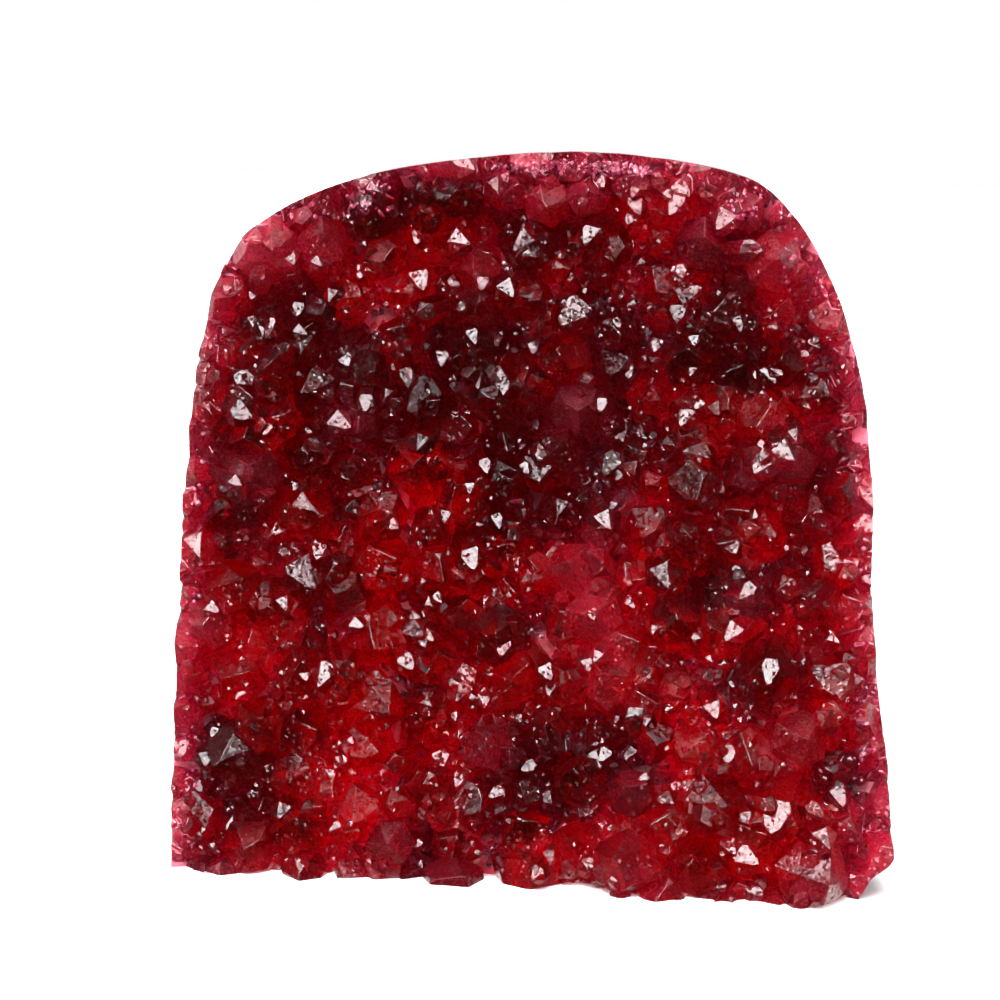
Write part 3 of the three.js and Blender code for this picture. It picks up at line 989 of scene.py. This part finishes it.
# %% Wires
class Wire:
    """an output socket of a node tree, which can be used in sums"""

    def __init__(self, tree, socket=None):
        self.tree, self.socket = tree, socket

    def node(self, kind, settings=None, sockets=None, out=0):
        """a new node: its settings are set first, then its sockets get a value or a link"""
        new = self.tree.nodes.new("ShaderNode" + kind)
        for name, value in (settings or {}).items():
            if name == "stops":
                stops = new.color_ramp.elements
                while len(stops) < len(value):
                    stops.new(0.5)
                for stop, (position, color) in zip(stops, value):
                    stop.position, stop.color = position, (*color, 1)
            else:
                setattr(new, name, value)
        for name, value in (sockets or {}).items():
            socket = new.inputs[name]
            if isinstance(value, Wire):
                self.tree.links.new(value.socket, socket)
            elif isinstance(value, tuple) and len(socket.default_value) == 4:
                socket.default_value = (*value, 1)
            else:
                socket.default_value = value
        return Wire(self.tree, new.outputs[out])

    def math(self, operation, first, second=0.0):
        return self.node("Math", {"operation": operation}, {0: first, 1: second})

    def __add__(self, other): return self.math("ADD", self, other)
    def __radd__(self, other): return self.math("ADD", other, self)
    def __sub__(self, other): return self.math("SUBTRACT", self, other)
    def __rsub__(self, other): return self.math("SUBTRACT", other, self)
    def __mul__(self, other): return self.math("MULTIPLY", self, other)
    def __rmul__(self, other): return self.math("MULTIPLY", other, self)

    def smooth(self, start, end, low=0.0, high=1.0):
        """low up to start, high from end on, and a smooth step between them"""
        values = {"Value": self, "From Min": start, "From Max": end, "To Min": low, "To Max": high}
        return self.node("MapRange", {"interpolation_type": "SMOOTHSTEP"}, values)

    def blend(self, first, second):
        """a colour: first where this is 0, second where it is 1"""
        return self.node("Mix", {"data_type": "RGBA"}, {0: self, 6: first, 7: second}, out=2)

    def attribute(self, name):
        return self.node("Attribute", {"attribute_name": name}, out=2)

    def place(self):
        """the point's own coordinates on the object, in metres"""
        return self.node("TexCoord", out=3)

    def noise(self, place, cells, detail=2.0, rough=0.5, out=0):
        """cloudy noise with a number of cells to the metre"""
        values = {"Vector": place, "Scale": cells, "Detail": detail, "Roughness": rough}
        return self.node("TexNoise", None, values, out)

    def spots(self, place, cells):
        """distance to the nearest of scattered points, with a number of points to the metre"""
        return self.node("TexVoronoi", None, {"Vector": place, "Scale": cells})

    def bump(self, height, depth):
        return self.node("Bump", None, {"Height": height, "Distance": depth})


def new_material(name):
    """an empty material, and a Wire to build its nodes with"""
    material = bpy.data.materials.new(name)
    material.use_nodes = True
    material.node_tree.nodes.clear()
    return material, Wire(material.node_tree)


def finish_material(material, wire, mesh, surface, volume=None):
    """gives the material its output and puts it on the mesh"""
    output = wire.tree.nodes.new("ShaderNodeOutputMaterial")
    wire.tree.links.new(surface.socket, output.inputs["Surface"])
    if volume is not None:
        wire.tree.links.new(volume.socket, output.inputs["Volume"])
    mesh.materials.append(material)
    print("material:", material.name, "nodes:", len(wire.tree.nodes))


# %% [markdown]
# ## Dyed quartz
#
# Quartz is clear: it lets light in, bends it by its index of 1.544 and mirrors a little of it. The
# red is in the body, so it comes from absorption: red light gets through, and green and blue are
# gone after a few millimetres. Deep places turn nearly black, thin ones stay pink, with no painting.
#
# No natural face is perfectly smooth. Two finishes are mixed: a clear one, and a satin one for the
# fine etching that scatters light and gives the inside its soft glow. Etching also breaks each face
# into grains of about 0.4 mm: cells that each lean a little their own way, so a face glitters instead
# of shining as a whole. A few grains lean steeply and sparkle from odd sides, and some are pitted,
# which makes them darker and more satin. Where the quartz is cloudy, a waxy pink finish takes over.

# %% Quartz material
GRAINS_TO_THE_METRE = 2600.0
LEAN, STEEP_LEAN = 0.28, 0.8

material, wire = new_material("dyed quartz")
place = wire.place()
facet, tone, milk = (wire.attribute(name) for name in ("facet", "tone", "milk"))
grains = wire.node("TexVoronoi", None, {"Vector": place, "Scale": GRAINS_TO_THE_METRE}, out=1)
# A grain's colour is three chance numbers. Together they are its lean away from the face's own
# normal, and two of them also say how etched and how steep it is.
split = wire.node("SeparateXYZ", None, {"Vector": grains})
etched, steep = (Wire(wire.tree, split.socket.node.outputs[i]) for i in (0, 2))
off = wire.node("VectorMath", {"operation": "SUBTRACT"}, {0: grains, 1: (0.5, 0.5, 0.5)})
lean = steep.smooth(0.78, 0.86) * STEEP_LEAN + LEAN
tilt = wire.node("VectorMath", {"operation": "SCALE"}, {0: off, "Scale": lean})
face_normal = wire.node("NewGeometry", out=1)
leaned = wire.node("VectorMath", {"operation": "ADD"}, {0: face_normal, 1: tilt})
normal = wire.node("VectorMath", {"operation": "NORMALIZE"}, {0: leaned})
pits = etched.smooth(0.6, 0.75)
# The tint follows tone, whose listed patches are partly painted shade and painted glow.
tint = (tone - pits * 0.25).blend((0.38, 0.13, 0.17), (0.93, 0.87, 0.89))
shared = {"Base Color": tint, "Transmission Weight": 1.0, "IOR": 1.544, "Normal": normal}
clear = wire.node("BsdfPrincipled", None, {**shared, "Roughness": 0.05})
frosted = {**shared, "Roughness": 0.3, "Specular Tint": (0.6, 0.45, 0.5)}
satin = wire.node("BsdfPrincipled", None, frosted)
share = facet.smooth(0.3, 1.0) * 0.3 + pits * 0.4 + 0.27
quartz = wire.node("MixShader", None, {0: share, 1: clear, 2: satin})
mist = (milk + etched * 0.5 - 0.25).smooth(0.45, 1.2)
cloudy = mist.blend((0.3, 0.004, 0.022), (0.46, 0.085, 0.14))
waxy = {"Base Color": cloudy, "Roughness": 0.55, "Specular IOR Level": 0.25, "Normal": normal}
milky = wire.node("BsdfPrincipled", None, waxy)
surface = wire.node("MixShader", None, {0: milk, 1: quartz, 2: milky})
volume = wire.node("VolumeAbsorption", None, {"Color": (0.92, 0.02, 0.41), "Density": 540.0})
finish_material(material, wire, druse_mesh, surface, volume)

# %% [markdown]
# ## Milky seams, bed, wall and rind
#
# The seams are milky quartz, pale pink and waxy. The bed is the same quartz stained by the dye, deep
# red in the middle and paler towards the rim, and lighter or darker in patches that are partly uneven
# dye and partly painted shade and painted glow. The ground wall cuts through the layers in which the
# geode grew: columns of quartz first, then thin bands of agate, and a dark brownish crust outside.
# The rind is the rough skin of that crust, with painted shade in its holes.

# %% Seam material
material, wire = new_material("milky seam")
place = wire.place()
mottle = wire.noise(place, 900, 2.0)
color = mottle.smooth(0.35, 0.65).blend((0.34, 0.05, 0.09), (0.6, 0.26, 0.32))
surface = wire.node("BsdfPrincipled", None, {"Base Color": color, "Roughness": mottle * 0.4 + 0.2})
finish_material(material, wire, seams.data, surface)

# %% Milky point material
material, wire = new_material("milky points")
place = wire.place()
mottle = wire.noise(place, 260, 3.0, 0.7)
color = mottle.smooth(0.42, 0.68).blend((0.22, 0.012, 0.04), (0.46, 0.16, 0.22))
surface = wire.node("BsdfPrincipled", None, {"Base Color": color, "Roughness": 0.3 + mottle * 0.2})
finish_material(material, wire, milky_points.data, surface)

# %% Bed material
material, wire = new_material("stained bed")
place = wire.place()
rim = wire.attribute("rim") + wire.noise(place, 300, 2.0) * 3.0
stain = wire.noise(place, 75, 3.0, 0.65)
grain = wire.noise(place, 1400, 2.0)
# The dyed patches lighten or darken the bed: partly uneven dye, partly painted shade and glow.
stained = (stain + wire.attribute("dyed") * 0.35).smooth(0.4, 0.64)
deep = stained.blend((0.07, 0.002, 0.006), (0.6, 0.012, 0.045))
color = rim.smooth(7.0, 2.5).blend(deep, (0.6, 0.12, 0.18))
shading = {"Base Color": color, "Roughness": 0.45 + grain * 0.3, "Normal": wire.bump(grain, 0.0002)}
finish_material(material, wire, stone.data, wire.node("BsdfPrincipled", None, shading))

# %% Wall material
material, wire = new_material("ground wall")
place = wire.place()
slow = wire.noise(place, 90, 3.0)
waver = slow * 3.4 + wire.noise(place, 900, 1.0) * 0.4
depth = wire.attribute("depth") + waver - 1.9
bands = depth.math("SINE", depth * 4.1) * 0.3 + depth.math("SINE", depth * 9.7) * 0.2 + 0.5
columns = wire.spots(place, 260).smooth(0.05, 0.5)
agate = (bands * 0.7 + columns * 0.3).blend((0.04, 0.006, 0.01), (0.14, 0.05, 0.052))
growth = columns * 0.6 + slow.smooth(0.35, 0.65) * 0.4
quartz = growth.blend((0.035, 0.002, 0.005), (0.13, 0.01, 0.022))
layered = depth.smooth(6.0, 8.0).blend(quartz, agate)
crumbs = wire.noise(place, 700, 3.0, 0.6).smooth(0.3, 0.7)
crust = crumbs.blend((0.018, 0.007, 0.006), (0.07, 0.03, 0.024))
color = depth.smooth(12.6, 13.8).blend(layered, crust)
scratch = wire.noise(place, 3000, 1.0)
shading = {"Base Color": color, "Roughness": 0.3 + scratch * 0.25,
           "Normal": wire.bump(scratch, 0.00002)}
finish_material(material, wire, stone.data, wire.node("BsdfPrincipled", None, shading))

# %% Rind material
material, wire = new_material("rind")
place = wire.place()
patch = wire.noise(place, 70, 4.0, 0.6)
speck = wire.noise(place, 900, 3.0, 0.7)
# The holes are coloured nearly black: painted shade in the recesses.
holes_with_painted_shade = wire.spots(place, 520).smooth(0.32, 0.14)
earth = patch.smooth(0.35, 0.65).blend((0.02, 0.008, 0.007), (0.085, 0.04, 0.03))
color = (speck.smooth(0.45, 0.75) * 0.6).blend(earth, (0.17, 0.105, 0.085))
color = holes_with_painted_shade.blend(color, (0.015, 0.005, 0.005))
shading = {"Base Color": color, "Roughness": 0.95 - speck * 0.3,
           "Normal": wire.bump(speck * 0.6 - holes_with_painted_shade, 0.0007)}
finish_material(material, wire, stone.data, wire.node("BsdfPrincipled", None, shading))

# %% Pieces in the frame
for piece in (crystal_druse, seams, milky_points, stone):
    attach(piece, "root")
    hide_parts("geode")
    print("piece in place of the solid:", piece.name)

# %% [markdown]
# ## The studio
#
# The floor is a plain pale sheet. The sky around it is dark in front, where the viewer stands, and
# brighter behind, and one soft round patch in it is the window, with a dim halo around it where the
# window lights the room. A clear crystal shows what is around it, so it needs something dark as well
# as something bright to mirror and to bend. The camera itself sees plain white, and the floor keeps
# out of the crystals' reflections. Light bounces many times inside the crystals. The window is wide
# enough to be met by chance, so it isn't also looked up at every bounce, which would take twice as
# long and look nearly the same.

# %% Floor
REACH = 40
floor_mesh = bpy.data.meshes.new("floor")
floor_corners = [(-REACH, -REACH, 0), (REACH, -REACH, 0), (REACH, REACH, 0), (-REACH, REACH, 0)]
floor_mesh.from_pydata(floor_corners, [], [(0, 1, 2, 3)])
floor = place_object("floor", floor_mesh)
floor.visible_glossy = False
material, wire = new_material("pale floor")
matt = wire.node("BsdfPrincipled", None, {"Base Color": (0.9, 0.9, 0.9), "Roughness": 0.8})
finish_material(material, wire, floor_mesh, matt)

# %% Sky
SKY_DARK, SKY_BRIGHT, SKY_SEEN = 0.012, 1.7, 1.0
WINDOW_LIGHT, HALO_LIGHT = 19.0, 2.8
# How far off the window's middle, in degrees, its light and its halo end and are at their full.
WINDOW_ENDS, WINDOW_FULL = 29, 10
HALO_ENDS, HALO_FULL = 62, 20


def round_patch(off_middle, ends, full, light):
    """light that fades out between two angles, given the cosine of how far off the middle it is"""
    return off_middle.smooth(np.cos(np.radians(ends)), np.cos(np.radians(full)), 0.0, light)


world = bpy.data.worlds.new("studio")
bpy.context.scene.world = world
world.use_nodes = True
world.cycles.sampling_method = "NONE"
world.node_tree.nodes.clear()
wire = Wire(world.node_tree)
heading = wire.node("TexCoord")
split = wire.node("SeparateXYZ", None, {"Vector": heading})
back, up = (Wire(world.node_tree, split.socket.node.outputs[i]) for i in (1, 2))
glow = (up * 0.1 + back * 0.9).smooth(0.0, 1.0, SKY_DARK, SKY_BRIGHT)
directions = {0: heading, 1: tuple(TO_WINDOW)}
off_window = wire.node("VectorMath", {"operation": "DOT_PRODUCT"}, directions, out=1)
window = round_patch(off_window, WINDOW_ENDS, WINDOW_FULL, WINDOW_LIGHT)
halo = round_patch(off_window, HALO_ENDS, HALO_FULL, HALO_LIGHT)
seen = wire.node("LightPath")
strength = seen * SKY_SEEN + (1 - seen) * (glow + window + halo)
sky = wire.node("Background", None, {"Color": (1.0, 1.0, 1.0), "Strength": strength})
output = world.node_tree.nodes.new("ShaderNodeOutputWorld")
world.node_tree.links.new(sky.socket, output.inputs["Surface"])
print("sky nodes:", len(world.node_tree.nodes))

# %% Camera
away = unit(EYE - AIM)
right = unit(np.cross(-away, [0, 0, 1]))
upward = np.cross(right, -away)
across, over = right * np.cos(ROLL), upward * np.cos(ROLL)
right, upward = across + upward * np.sin(ROLL), over - right * np.sin(ROLL)
camera = bpy.data.objects.new("camera", bpy.data.cameras.new("camera"))
bpy.context.scene.collection.objects.link(camera)
turn = Matrix(np.stack([right, upward, away], -1)).to_4x4()
camera.matrix_world = Matrix.Translation(EYE * MM) @ turn
camera.data.lens = LENS
camera.data.sensor_width = 36
bpy.context.scene.camera = camera
bpy.context.scene.view_settings.view_transform = "Standard"
print("camera, mm:", (np.array(camera.matrix_world.translation) / MM).round())

# %% End
print("done")
